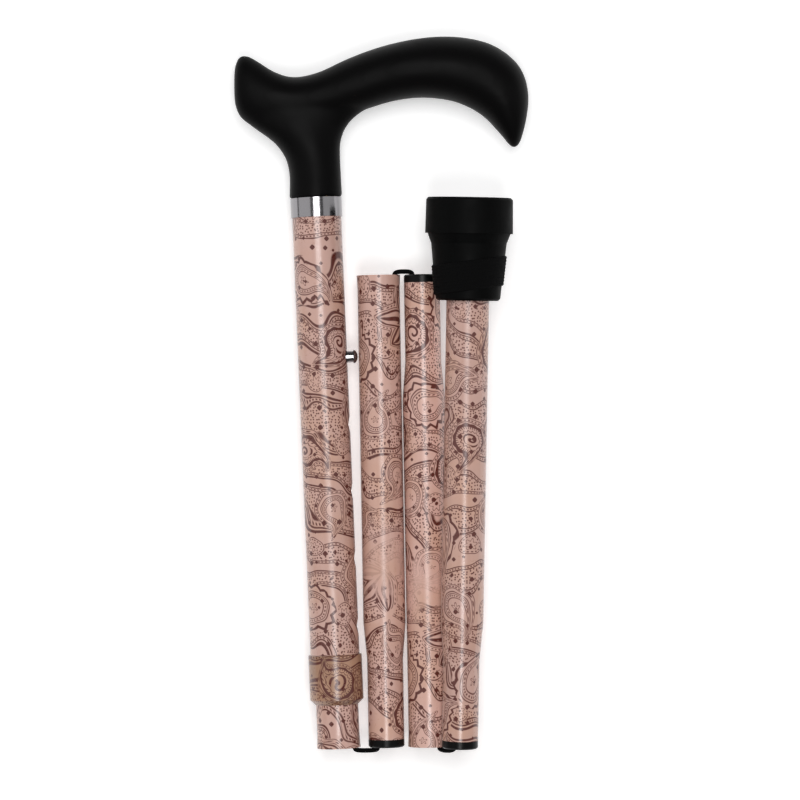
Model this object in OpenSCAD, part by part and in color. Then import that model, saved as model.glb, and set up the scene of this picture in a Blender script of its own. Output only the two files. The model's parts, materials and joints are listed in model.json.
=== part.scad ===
// Folding walking cane with a derby handle, folded and lying on its side.
// The modules draw it standing: X across the bundle, Z up the shaft to the handle.
// lay() then puts it down, so in the part X runs across, Y along the shaft and Z up from
// the floor. The origin is on the floor under the middle of the part.

/* [Tubes] */
// Outside diameter of the sliding tube and of the folding sections
tube_od = 16; // [14:0.1:20]
// Wall of the sliding tube and of the folding sections
tube_wall = 1.1; // [0.9:0.05:1.4]
// Wall of the upper tube
upper_wall = 1.2; // [1:0.05:1.6]
// Radial play between the upper tube and the sliding tube
slide_gap = 0.1; // [0.05:0.05:0.2]
// Radial play of a drawn-down end in the open end that takes it
joint_gap = 0.1; // [0.05:0.05:0.2]
// Height of the handle's seat above the lower end of the sliding tube
shaft_h = 207.6; // [190:0.2:240]
// Length of sections 2 and 3
section_len = 178; // [150:1:200]
// Length of section 4, which carries the ferrule
section_4_len = 198.6; // [175:0.2:225]

/* [Section joints] */
// Length of the drawn-down end
male_len = 30; // [22:1:36]
// Length of the shoulder between the drawn-down end and the full tube
shoulder_len = 14; // [8:1:18]
// Length of the flared lip at an open end
flare_len = 5; // [3:0.5:8]
// How far the flared lip widens in radius
flare = 0.25; // [0.1:0.05:0.3]
// Gap between two sections that are pulled apart to be folded
open_gap = 1; // [0.5:0.1:2]
// Height of the plug's black rim
rim_h = 3; // [2:0.2:4]
// Length of the plug inside the tube
plug_len = 16; // [10:1:20]

/* [Height adjustment] */
// Distance between height holes
hole_pitch = 25.4; // [20:0.1:26]
// Number of height holes
hole_count = 5; // [3:1:5]
// Diameter of a height hole
hole_d = 6; // [5.6:0.1:7]
// Distance from the handle's seat down to the button
button_drop = 60.4; // [52:0.2:76]
// How far the button stands out of the upper tube
button_out = 4; // [2.5:0.1:4.4]
// Diameter of the button's head
button_d = 5.3; // [4.6:0.1:5.4]
// Outside diameter of the locking ring
ring_od = 20.2; // [19.8:0.1:21]
// Height of the locking ring
ring_h = 18.8; // [14:0.2:22]
// Height of the ring's foot above the lower end of the sliding tube
ring_z = 16.5; // [12:0.5:24]

/* [Handle] */
// Length of the handle from heel to nose
handle_length = 111.5; // [100:0.5:130]
// Height of the handle from its neck's foot to its crown
handle_height = 61; // [52:0.2:70]
// Thickness of the grip at the palm
handle_depth = 29; // [24:0.5:34]
// Diameter of the neck at its foot
neck_d = 19.9; // [19:0.1:23]
// Height of the bright collar under the handle
collar_h = 7.3; // [4:0.1:10]
// Wall of the bright collar
collar_wall = 0.45; // [0.3:0.05:0.6]
// How far the dowel stands into the handle and into the tube
dowel_reach = 26; // [18:1:30]

/* [Ferrule and band] */
// Diameter of the ferrule's flange at its lip
flange_d = 32.8; // [30:0.2:38]
// Diameter of the ferrule's ground face
face_d = 32.4; // [29:0.2:33]
// Height of the ferrule's flange
flange_h = 13.4; // [9:0.2:16]
// Diameter of the ferrule's body under the flange
body_top_d = 28.2; // [25:0.2:29]
// Diameter of the ferrule's body at its mouth
body_foot_d = 24.2; // [22:0.2:27]
// Height of the whole ferrule
ferrule_h = 38.4; // [32:0.2:46]
// Rubber between the tube's washer and the ground face
ferrule_floor = 6; // [4:0.5:8]
// Thickness of the washer in the ferrule
washer_t = 1.5; // [1:0.1:2]
// Width of the woven band
band_w = 11; // [8:0.5:14]
// Thickness of the woven band
band_t = 0.6; // [0.5:0.1:1]
// Slant of the woven band
band_tilt = 9; // [0:1:10]

/* [Folded bundle] */
// Lean of the shaft under the handle, top to the left
lean_1 = 2.4; // [2.2:0.1:3]
// Lean of sections 2 and 3, top to the left
lean_2 = 1; // [0.6:0.1:1.2]
// Distance from the shaft's lower end to section 2's lower end
pitch_12 = 18; // [17.9:0.1:20]
// How far section 4 lies up over section 3
stack_angle = 45; // [32:0.5:50]
// Gap between sections that lie side by side
bundle_gap = 0.35; // [0.3:0.05:1]
// Height of the sections' lower ends above the floor
end_lift = 0.6; // [0.2:0.1:2]
// Diameter of the elastic cord
cord_d = 3; // [2.4:0.1:3.2]

/* [Hidden] */
$fn = 64;
overrun = 1;
fit_gap = 0.05;
tube_r = tube_od / 2;
bore_r = tube_r - tube_wall;
male_r = bore_r - joint_gap;
male_bore_r = male_r - tube_wall;
mouth_r = tube_r + flare;
upper_bore_r = tube_r + slide_gap;
upper_r = upper_bore_r + upper_wall;
ring_r = ring_od / 2;
ring_edge_share = 0.4;
ring_edge = (ring_r - upper_r) * ring_edge_share;
ring_taper = 1.8;
cord_r = cord_d / 2;
cord_play = 0.2;
cord_bore_r = cord_r + cord_play;
sleeve_h = 5;
lip_h = 2.4;
tube_foot = ring_z + sleeve_h;
button_h = shaft_h - button_drop;
inner_over = 16;
inner_top = button_h + inner_over;
ferrule_z = section_4_len + washer_t + ferrule_floor - ferrule_h;
flange_z = ferrule_h - flange_h;
bend_in = 14;
flat_share = 0.6;
flat_r = cord_r * flat_share;
spread_share = 0.6;
bend_rise = flat_r + cord_play;
crest_share = 1.15;
bend_out = bend_rise * crest_share + flat_r;
funnel_r = male_bore_r - tube_wall;
funnel_lip = 2;

// Where each tube of the folded bundle starts, and which way it runs
shaft_x = -15.7;
bundle_pitch = tube_od + bundle_gap;
foot_1 = [shaft_x, 0, mouth_r * sin(lean_1)];
foot_2 = [shaft_x + pitch_12, 0, end_lift];
up_2 = [-sin(lean_2), 0, cos(lean_2)];
across_2 = [cos(lean_2), 0, sin(lean_2)];
head_2 = foot_2 + section_len * up_2;
head_3 = head_2 + bundle_pitch * across_2;
foot_3 = foot_2 + bundle_pitch * across_2;
full_z = male_len + shoulder_len;
seat_travel = male_len + rim_h + open_gap;
pitch_34 = mouth_r + male_r + 2 * bundle_gap;
// Section 4 leans away so that its flange clears section 3 even when it is pulled down
splay_34 = atan((flange_d / 2 + male_r + bundle_gap - pitch_34) / (ferrule_z + flange_z - seat_travel));
across_4 = cos(stack_angle) * across_2 - sin(stack_angle) * [0, 1, 0];
handle_seat = foot_1 + shaft_h * [-sin(lean_1), 0, cos(lean_1)];

// The bundle lies on the handle's palm and on the locking ring, so it tips a little
palm_share = 0.8;
palm_z = handle_seat[2] + palm_share * handle_height;
ring_top = foot_1[2] + ring_z + ring_h;
rest_tilt = -atan((handle_depth / 2 - ring_r) / (palm_z - ring_top));
rest_h = handle_depth / 2 * cos(rest_tilt) - palm_z * sin(rest_tilt);
middle = (handle_seat[2] + handle_height - bend_out) / 2;

print_colour = "#d9b3a5";
black = "#1b1b1b";
bright = "#c9cacc";

module lay() { translate([0, -middle, rest_h]) rotate([rest_tilt - 90, 0, 0]) children(); }

// Places children in the frame of one tube: Z along the tube from its joint end
module on_shaft() { lay() translate(foot_1) rotate([0, -lean_1, 0]) children(); }
module on_section_2() { lay() translate(foot_2) rotate([0, -lean_2, 0]) children(); }
module on_section_3() { lay() translate(head_3) rotate([0, 180 - lean_2, 0]) children(); }
module on_section_4() {
    lay() translate(foot_3) rotate([0, -lean_2, 0]) rotate([0, 0, -stack_angle])
        translate([pitch_34, 0, 0]) rotate([0, splay_34, 0]) children();
}

// A ring from z0 to z1 between two radii
module pipe(r_out, r_in, z0, z1) {
    translate([0, 0, z0]) difference() {
        cylinder(r = r_out, h = z1 - z0);
        translate([0, 0, -overrun]) cylinder(r = r_in, h = z1 - z0 + 2 * overrun);
    }
}

// A smooth curve through the rows of a table
function spline(a, b, c, d, t) =
    b + 0.5 * t * (c - a + t * (2 * a - 5 * b + 4 * c - d + t * (3 * (b - c) + d - a)));
function smooth_rows(rows, steps) = let (last = len(rows) - 1) [
    for (i = [0 : last - 1], j = [0 : steps - 1])
        spline(rows[max(i - 1, 0)], rows[i], rows[i + 1], rows[min(i + 2, last)], j / steps),
    rows[last]
];

// A closed skin over rings that all have the same number of points
module skin(rings) {
    count = len(rings);
    sides = len(rings[0]);
    points = [for (ring = rings) each ring];
    walls = [
        for (i = [0 : count - 2], j = [0 : sides - 1])
            let (k = (j + 1) % sides, a = i * sides, b = a + sides)
            each [[a + j, b + j, b + k], [a + j, b + k, a + k]]
    ];
    near_cap = [for (j = [1 : sides - 2]) [0, j, j + 1]];
    far = (count - 1) * sides;
    far_cap = [for (j = [1 : sides - 2]) [far, far + j + 1, far + j]];
    polyhedron(points, concat(near_cap, walls, far_cap));
}

// Handle

// Sections across the grip from heel to nose: the x and z of the lower edge, the x and z
// of the upper edge and the half thickness, as shares of the handle's three sizes
grip_shares = [
    [0.003, 0.600, 0.002, 0.770, 0.20],
    [0.011, 0.538, 0.009, 0.844, 0.42],
    [0.030, 0.484, 0.032, 0.890, 0.58],
    [0.074, 0.438, 0.080, 0.850, 0.64],
    [0.142, 0.445, 0.134, 0.786, 0.68],
    [0.227, 0.465, 0.204, 0.748, 0.71],
    [0.328, 0.495, 0.290, 0.781, 0.76],
    [0.443, 0.545, 0.380, 0.858, 0.84],
    [0.535, 0.596, 0.492, 0.934, 0.92],
    [0.633, 0.620, 0.617, 0.986, 0.98],
    [0.734, 0.602, 0.742, 1.000, 1.00],
    [0.805, 0.552, 0.860, 0.962, 0.97],
    [0.853, 0.492, 0.941, 0.872, 0.90],
    [0.887, 0.426, 0.984, 0.765, 0.80],
    [0.914, 0.370, 1.000, 0.621, 0.62],
    [0.933, 0.324, 0.989, 0.456, 0.40],
    [0.949, 0.300, 0.970, 0.332, 0.14]
];
// Level rings up the neck: the height, the left edge and the right edge as shares of the
// handle's height and length, and the half thickness as a share of the neck's radius
neck_shares = [
    [-0.030, 0.191, 0.367, 1.00],
    [0.060, 0.191, 0.366, 1.00],
    [0.145, 0.190, 0.364, 1.00],
    [0.245, 0.177, 0.361, 1.00],
    [0.345, 0.137, 0.362, 0.99],
    [0.445, 0.062, 0.383, 0.97],
    [0.520, 0.030, 0.424, 0.94],
    [0.575, 0.040, 0.470, 0.90]
];
neck_x_share = 0.279;
neck_width_share = 0.176;
neck_spread = neck_d / handle_length / neck_width_share;
loft_steps = 3;
loft_sides = 28;

function grip_ring(row) = let (
    low = [row[0] * handle_length, row[1] * handle_height],
    high = [row[2] * handle_length, row[3] * handle_height],
    mid = (low + high) / 2,
    half = (high - low) / 2
) [
    for (k = [0 : loft_sides - 1]) let (a = 360 * k / loft_sides)
        [mid[0] + half[0] * cos(a), -row[4] * handle_depth / 2 * sin(a), mid[1] + half[1] * cos(a)]
];
function neck_ring(row) = let (
    left = neck_x_share + (row[1] - neck_x_share) * neck_spread,
    right = neck_x_share + (row[2] - neck_x_share) * neck_spread,
    mid = (left + right) / 2 * handle_length,
    half = (right - left) / 2 * handle_length
) [
    for (k = [0 : loft_sides - 1]) let (a = 360 * k / loft_sides)
        [mid + half * cos(a), row[3] * neck_d / 2 * sin(a), row[0] * handle_height]
];

module derby_handle() {
    color(black) difference() {
        lay() translate(handle_seat - [neck_x_share * handle_length, 0, 0]) {
            skin([for (row = smooth_rows(grip_shares, loft_steps)) grip_ring(row)]);
            skin([for (row = smooth_rows(neck_shares, loft_steps)) neck_ring(row)]);
        }
        on_shaft() translate([0, 0, shaft_h - neck_d / 2])
            cylinder(r = neck_d, h = neck_d / 2);
        on_shaft() translate([0, 0, shaft_h - overrun])
            cylinder(r = upper_bore_r, h = dowel_reach + fit_gap + overrun);
    }
}

module handle_dowel() {
    dowel_r = upper_bore_r - fit_gap;
    color("tan") on_shaft() translate([0, 0, shaft_h - dowel_reach])
        cylinder(r = dowel_r, h = 2 * dowel_reach);
}

module handle_collar() {
    color(bright) on_shaft()
        pipe(upper_r + fit_gap + collar_wall, upper_r + fit_gap, shaft_h - collar_h, shaft_h);
}

// Shaft and height adjustment

module upper_tube() {
    color(print_colour) on_shaft() difference() {
        pipe(upper_r, upper_bore_r, tube_foot, shaft_h);
        for (i = [0 : hole_count - 1])
            translate([0, 0, button_h - i * hole_pitch]) rotate([0, 90, 0])
                cylinder(d = hole_d, h = upper_r + overrun);
    }
}

module rattle_sleeve() {
    color("whitesmoke") on_shaft()
        pipe(upper_r - fit_gap, tube_r + fit_gap, ring_z + lip_h, tube_foot);
}

module locking_ring() {
    color(print_colour) on_shaft() rotate_extrude() polygon([
        [tube_r + slide_gap, ring_z],
        [ring_r - ring_taper, ring_z],
        [ring_r, ring_z + ring_taper],
        [ring_r, ring_z + ring_h - ring_edge],
        [ring_r - ring_edge, ring_z + ring_h],
        [upper_r + fit_gap, ring_z + ring_h],
        [upper_r + fit_gap, ring_z + lip_h],
        [tube_r + slide_gap, ring_z + lip_h]
    ]);
}

// The wall of a tube that ends in a flared lip at z = 0, going up to z = top
module flared_wall(top) {
    polygon([
        [bore_r + flare, 0], [mouth_r, 0], [tube_r, flare_len],
        [tube_r, top], [bore_r, top], [bore_r, flare_len]
    ]);
}

button_play = 0.15;
button_hole_d = button_d + 2 * button_play;

module inner_tube() {
    color(print_colour) on_shaft() difference() {
        rotate_extrude() flared_wall(inner_top);
        translate([0, 0, button_h]) rotate([0, 90, 0])
            cylinder(d = button_hole_d, h = tube_r + overrun);
    }
}

seat_share = 0.6;
button_seat = bore_r * seat_share;
// The button's shank and foot as shares of its head's radius, its dome of what stands out
shank_share = 0.84;
foot_share = 1.2;
dome_share = 0.42;
leaf_t = 0.6;
leaf_w = 6;
leaf_len = 14;

module snap_button() {
    head_r = button_d / 2;
    shank_r = head_r * shank_share;
    foot_r = head_r * foot_share;
    tip = upper_r + button_out;
    head_h = button_out * dome_share;
    color(bright) on_shaft() translate([0, 0, button_h]) rotate([0, 90, 0]) rotate_extrude()
        polygon(concat(
            [[0, button_seat], [foot_r, button_seat], [foot_r, button_seat + leaf_t],
             [shank_r, button_seat + leaf_t], [shank_r, tip - head_h]],
            [for (a = [0 : 15 : 90]) [head_r * cos(a), tip - head_h * (1 - sin(a))]]
        ));
}

module button_spring() {
    front = button_seat - leaf_t / 2;
    back = -bore_r + 2 * leaf_t;
    bend_r = (front - back) / 2;
    color(bright) on_shaft() translate([(front + back) / 2, leaf_w / 2, button_h - leaf_len / 2])
        rotate([90, 0, 0]) linear_extrude(leaf_w) {
            for (side = [-1, 1])
                translate([side * bend_r, leaf_len / 2]) square([leaf_t, leaf_len], center = true);
            intersection() {
                difference() {
                    circle(r = bend_r + leaf_t / 2);
                    circle(r = bend_r - leaf_t / 2);
                }
                translate([-bend_r - leaf_t, -bend_r - leaf_t])
                    square([2 * (bend_r + leaf_t), bend_r + leaf_t]);
            }
        }
}

// Folding sections

// A section's wall: drawn-down end at z = 0, open end at z = length
module section_wall(length, lip) {
    rotate_extrude() polygon([
        [male_bore_r, 0], [male_r, 0], [male_r, male_len], [tube_r, full_z],
        [tube_r, length - flare_len], [tube_r + lip, length],
        [bore_r + lip, length], [bore_r, length - flare_len],
        [bore_r, full_z], [male_bore_r, male_len]
    ]);
}

// Plug of a drawn-down end: black rim below the tube and a funnel for the cord
module end_plug() {
    stem_r = male_bore_r - fit_gap;
    rim_round = rim_h / 6;
    color(black) rotate_extrude() polygon([
        [funnel_r, -rim_h], [male_r - rim_round, -rim_h], [male_r, rim_round - rim_h], [male_r, 0],
        [stem_r, 0], [stem_r, plug_len], [cord_bore_r, plug_len],
        [cord_bore_r, bend_in - cord_r - rim_h], [funnel_r, funnel_lip - rim_h]
    ]);
}

// The section modules start at the plug's rim, so the tube starts one rim further on
module section(length, lip) {
    color(print_colour) translate([0, 0, rim_h]) section_wall(length - rim_h, lip);
}
module plug() { translate([0, 0, rim_h]) end_plug(); }

module section_2_tube() { on_section_2() section(section_len, flare); }
module section_3_tube() { on_section_3() section(section_len, flare); }
module section_4_tube() { on_section_4() section(section_4_len, 0); }
module section_2_plug() { on_section_2() plug(); }
module section_3_plug() { on_section_3() plug(); }
module section_4_plug() { on_section_4() plug(); }

// Elastic cord

cord_sides = 10;
bend_steps = 3;
cord_break = 0.1;
run_z = bend_in + cord_break;
run_len = 26;
anchor_len = 10;
anchor_drop = 40;
anchor_z = button_h - anchor_drop;
end_drop = 8;
end_anchor_z = section_4_len - anchor_len - end_drop;

module cord_run(z0, z1) {
    color(black) translate([0, 0, z0]) cylinder(r = cord_r, h = z1 - z0);
}

// One side of a bend, from deep in a tube to over its edge: how far the cord is off the
// tube's axis, how far out of the tube it is and how thick it still is as a share, with near
// its place beside the edge. The stretched cord flattens where it goes over the edges.
bend_in_share = 0.45;
bend_off_shares = [0.45, 0.95];
bend_edge_shares = [0.4, 0.7];
half_flat_share = (1 + flat_share) / 2;
function bend_side(near) = [
    [0, -bend_in, 1],
    [0, cord_r - bend_in, 1],
    [near * bend_off_shares[0], -bend_in * bend_in_share, half_flat_share],
    [near * bend_off_shares[1], -cord_r, flat_share],
    [near, bend_rise * bend_edge_shares[0], flat_share],
    [near + cord_r * bend_edge_shares[1], bend_rise, flat_share]
];

// Stretch of cord that leaves an open end and dives into the next plug: from is the open
// end's centre, out its outward direction, over the way to the plug's centre, and splay the
// angle between the two tubes
module cord_bend(from, out, over, splay) {
    span = norm(over);
    side = over / span;
    level = cross(side, out);
    leave = bend_side(bore_r + flare - flat_r - cord_play);
    enter = bend_side(funnel_r - flat_r - cord_play);
    crest_x = (leave[len(leave) - 1][0] + span - enter[len(enter) - 1][0]) / 2;
    route = concat(leave, [[crest_x, bend_rise * crest_share, flat_share]],
        [for (i = [len(enter) - 1 : -1 : 0])
            [span - enter[i][0] - enter[i][1] * tan(splay), enter[i][1], enter[i][2]]]);
    rows = smooth_rows(route, bend_steps);
    way = [for (row = rows) from + row[0] * side + row[1] * out];
    last = len(way) - 1;
    color(black) lay() skin([
        for (i = [0 : last]) let (
            run = i == 0 || i == last ? (i == 0 ? out : -out) : way[i + 1] - way[i - 1],
            n = cross(level, run) / norm(run),
            thin = rows[i][2],
            wide = 1 + spread_share * (1 - thin)
        ) [for (k = [0 : cord_sides - 1]) let (a = 360 * k / cord_sides)
            way[i] + cord_r * (thin * cos(a) * n + wide * sin(a) * level)]
    ]);
}

down_1 = [sin(lean_1), 0, -cos(lean_1)];
module cord_bend_1() { cord_bend(foot_1, down_1, foot_2 - foot_1, lean_1 - lean_2); }
module cord_bend_2() { cord_bend(head_2, up_2, bundle_pitch * across_2, 0); }
module cord_bend_3() { cord_bend(foot_3, -up_2, pitch_34 * across_4, splay_34); }

module cord_run_1() { on_shaft() cord_run(run_z, anchor_z + anchor_len); }
module cord_run_2_lower() { on_section_2() cord_run(run_z, run_z + run_len); }
module cord_run_2_upper() {
    on_section_2() cord_run(section_len - run_z - run_len, section_len - run_z);
}
module cord_run_3() { on_section_3() cord_run(run_z, section_len - run_z); }
module cord_run_4() { on_section_4() cord_run(run_z, run_z + run_len); }
module cord_end() { on_section_4() cord_run(end_anchor_z - run_len, end_anchor_z + anchor_len); }

module cord_anchor(z) {
    color("whitesmoke") pipe(bore_r - fit_gap, cord_r + fit_gap, z, z + anchor_len);
}
module upper_cord_anchor() { on_shaft() cord_anchor(anchor_z); }
module lower_cord_anchor() { on_section_4() cord_anchor(end_anchor_z); }

// Foot

lip = 0.8;
cone_h = 3.8;
flange_step = 0.9;
groove_shares = [0.35, 0.55, 0.75];

module ferrule() {
    groove = ferrule_floor / 6;
    flange_r = flange_d / 2;
    face_r = face_d / 2;
    socket_r = tube_r + fit_gap;
    color(black) on_section_4() translate([0, 0, ferrule_z]) difference() {
        rotate_extrude() polygon([
            [socket_r, 0], [body_foot_d / 2 - lip, 0], [body_foot_d / 2, lip],
            [body_top_d / 2, flange_z - cone_h], [flange_r - flange_step, flange_z],
            [flange_r, flange_z], [face_r, ferrule_h - lip],
            [face_r - lip, ferrule_h], [0, ferrule_h],
            [0, ferrule_h - ferrule_floor], [socket_r, ferrule_h - ferrule_floor]
        ]);
        for (share = groove_shares)
            translate([0, 0, ferrule_h - groove]) difference() {
                cylinder(r = flange_r * share + groove, h = groove + overrun);
                translate([0, 0, -overrun]) cylinder(r = flange_r * share, h = groove + 3 * overrun);
            }
    }
}

module ferrule_washer() {
    color(bright) on_section_4() translate([0, 0, section_4_len]) cylinder(r = tube_r, h = washer_t);
}

band_z_share = 0.42;

module elastic_band() {
    body_h = flange_z - cone_h - lip;
    foot_r = body_foot_d / 2 + fit_gap;
    top_r = body_top_d / 2 + fit_gap;
    color(black) on_section_4() translate([0, 0, ferrule_z + lip]) intersection() {
        rotate_extrude() polygon([
            [foot_r, 0], [foot_r + band_t, 0], [top_r + band_t, body_h], [top_r, body_h]
        ]);
        translate([0, 0, body_h * band_z_share]) rotate([0, 0, stack_angle]) rotate([0, -band_tilt, 0])
            cube([2 * flange_d, 2 * flange_d, band_w], center = true);
    }
}

derby_handle();
handle_dowel();
handle_collar();
upper_tube();
rattle_sleeve();
locking_ring();
inner_tube();
button_spring();
snap_button();
upper_cord_anchor();
cord_run_1();
cord_bend_1();
cord_run_2_lower();
section_2_tube();
section_2_plug();
cord_run_2_upper();
cord_bend_2();
section_3_tube();
section_3_plug();
cord_run_3();
cord_bend_3();
cord_run_4();
section_4_tube();
section_4_plug();
lower_cord_anchor();
cord_end();
ferrule();
ferrule_washer();
elastic_band();
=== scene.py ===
"""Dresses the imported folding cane: printed tubes, moulded handle, rubber foot, band and cord."""

import json
import math

import bmesh
import bpy
import numpy as np
from mathutils import Matrix, Vector

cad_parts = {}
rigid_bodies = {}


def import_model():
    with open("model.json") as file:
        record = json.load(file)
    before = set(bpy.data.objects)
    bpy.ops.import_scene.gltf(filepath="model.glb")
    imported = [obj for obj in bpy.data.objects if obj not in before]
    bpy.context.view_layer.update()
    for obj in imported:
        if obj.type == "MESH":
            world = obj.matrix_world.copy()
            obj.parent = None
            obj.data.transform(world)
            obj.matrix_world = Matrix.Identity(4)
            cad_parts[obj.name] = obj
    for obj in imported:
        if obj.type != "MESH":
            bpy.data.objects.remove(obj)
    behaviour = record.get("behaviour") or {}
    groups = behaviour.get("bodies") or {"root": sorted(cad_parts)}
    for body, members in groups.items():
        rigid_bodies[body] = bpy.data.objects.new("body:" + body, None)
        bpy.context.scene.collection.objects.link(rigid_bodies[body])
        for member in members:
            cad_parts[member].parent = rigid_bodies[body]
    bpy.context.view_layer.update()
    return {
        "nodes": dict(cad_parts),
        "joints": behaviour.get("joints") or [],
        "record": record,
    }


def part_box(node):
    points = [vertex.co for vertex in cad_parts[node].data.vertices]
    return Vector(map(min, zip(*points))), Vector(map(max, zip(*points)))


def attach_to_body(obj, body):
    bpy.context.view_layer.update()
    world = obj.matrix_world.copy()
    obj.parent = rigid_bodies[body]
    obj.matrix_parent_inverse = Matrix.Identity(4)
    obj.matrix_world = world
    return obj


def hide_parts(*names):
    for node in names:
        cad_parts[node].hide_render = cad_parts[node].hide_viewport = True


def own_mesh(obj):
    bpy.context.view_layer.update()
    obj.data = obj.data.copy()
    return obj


bl_info = {
    "name": "Folding cane dresser",
    "version": (1, 0, 0),
    "blender": (4, 5, 0),
    "location": "View3D > Sidebar > Cane",
    "description": "Gives a folding cane its moulded handle, printed tubes, rubber foot, band and cord",
    "category": "Object",
}

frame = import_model()
NODES = frame["nodes"]
JOINTS = {joint["name"]: joint for joint in frame["joints"]}
MM = 0.001

FACE = frame["record"]["mounts"][0]
SHAFT_UP = -Vector(JOINTS["height_slide"]["axis"])
SECTION_UP = -Vector(JOINTS["seat_1"]["axis"])
FOOT_UP = -Vector(JOINTS["seat_3"]["axis"])
SECTION_TURN = Vector(JOINTS["fold_1"]["axis"])


def middle(node):
    low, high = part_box(node)
    return (low + high) / 2


def tube_frame(point, up, side):
    """A matrix whose Z runs along a tube and whose X points as near to side as it can."""
    z = up.normalized()
    y = z.cross(side).normalized()
    x = y.cross(z)
    turn = Matrix((x, y, z)).transposed().to_4x4()
    return Matrix.Translation(point) @ turn


ACROSS = Vector((1, 0, 0))
SHAFT_FRAME = tube_frame(Vector(JOINTS["ring_turn"]["pos_m"]), SHAFT_UP, ACROSS)
SECTION_FRAMES = {
    "section_2_tube": tube_frame(middle("section_2_plug"), SECTION_UP, ACROSS),
    "section_3_tube": tube_frame(middle("section_3_plug"), SECTION_UP, ACROSS),
    "section_4_tube": tube_frame(middle("section_4_plug"), FOOT_UP, ACROSS),
}
FOOT_FRAME = tube_frame(Vector(FACE["pos_m"]), Vector(FACE["axis"]), ACROSS)


# Sizes and colours that a user would change


def length_prop(name, description, default):
    return bpy.props.FloatProperty(
        name=name, description=description, default=default, min=0.0, unit="LENGTH", precision=5
    )


def colour_prop(name, description, default):
    return bpy.props.FloatVectorProperty(
        name=name, description=description, default=default, size=3, min=0.0, max=1.0, subtype="COLOR"
    )


class CanePrint(bpy.types.PropertyGroup):
    """Colours and sizes of the paisley print on the tubes"""

    ground: colour_prop("Ground", "Pink-beige ground of the print", (0.56, 0.345, 0.29))
    ground_warm: colour_prop("Warm ground", "Warmer patches of the ground", (0.57, 0.32, 0.215))
    ring_ground: colour_prop("Ring ground", "More golden ground of the locking ring", (0.31, 0.17, 0.1))
    ink: colour_prop("Ink", "Maroon of the broad lines", (0.09, 0.0125, 0.0075))
    fine_ink: colour_prop("Fine ink", "Brown of the fine lines", (0.098, 0.0165, 0.0095))
    row_height: length_prop("Row height", "Height of one row of motifs", 0.025)
    winding: length_prop("Winding", "Length in which the motifs move round by one column", 0.07)
    cells_round: bpy.props.IntProperty(
        name="Motifs round", description="Whole motifs round a tube", default=2, min=1
    )


class CaneFinish(bpy.types.PropertyGroup):
    """Colours of the plain pieces"""

    handle: colour_prop("Handle", "Satin black of the handle", (0.0026, 0.0025, 0.0026))
    rubber: colour_prop("Rubber", "Black of the ferrule", (0.0015, 0.0016, 0.0016))
    bright: colour_prop("Bright metal", "Collar and button", (0.31, 0.30, 0.312))
    bare: colour_prop("Bare tube", "Aluminium where the print ends", (0.62, 0.61, 0.60))
    plug: colour_prop("Plugs", "Black of the end plugs", (0.003, 0.003, 0.003))
    cord: colour_prop("Cord and band", "Black of the woven pieces", (0.0022, 0.0022, 0.0023))
    nylon: colour_prop("Nylon", "Off-white of the hidden bushes", (0.72, 0.71, 0.66))
    dowel: colour_prop("Dowel", "Wood of the hidden dowel", (0.50, 0.31, 0.16))


class CaneShapes(bpy.types.PropertyGroup):
    """Sizes of the pieces that are made here"""

    skin_voxel: length_prop("Handle voxel", "Grid that the handle's skin is rebuilt on", 0.0009)
    skin_hold: length_prop("Handle hold", "Height over the collar that the smoothing leaves alone", 0.004)
    cord_d: length_prop("Cord", "Diameter of the elastic cord", 0.003)
    band_width: length_prop("Band width", "Width of the woven band", 0.011)
    band_thick: length_prop("Band thickness", "Thickness of the woven band", 0.0006)
    band_tilt: bpy.props.FloatProperty(
        name="Band slant", description="Slant of the woven band", default=math.radians(9), subtype="ANGLE"
    )
    view_distance: length_prop("View distance", "Camera's distance from the bundle", 1.5)
    view_width: length_prop("View width", "Width of the view at the bundle", 0.302)


# Shader building

LINE_WEIGHT = 1.15
LINE_SOFT = 0.07
NOISE_RANGE = 0.3, 0.7


class Graph:
    """Adds nodes to a tree; values may be numbers, tuples or fields."""

    def __init__(self, tree):
        self.tree = tree

    def put(self, socket, value):
        if isinstance(value, Field):
            self.tree.links.new(value.socket, socket)
        else:
            socket.default_value = value

    def add(self, kind, *values, out=0, inputs=None, **props):
        """A new node with its settings, its first inputs and some by name; gives one output."""
        node = self.tree.nodes.new(kind)
        for key, value in props.items():
            setattr(node, key, value)
        for index, value in enumerate(values):
            if value is not None:
                self.put(node.inputs[index], value)
        for key, value in (inputs or {}).items():
            self.put(node.inputs[key], value)
        return Field(self, node.outputs[out])


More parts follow.
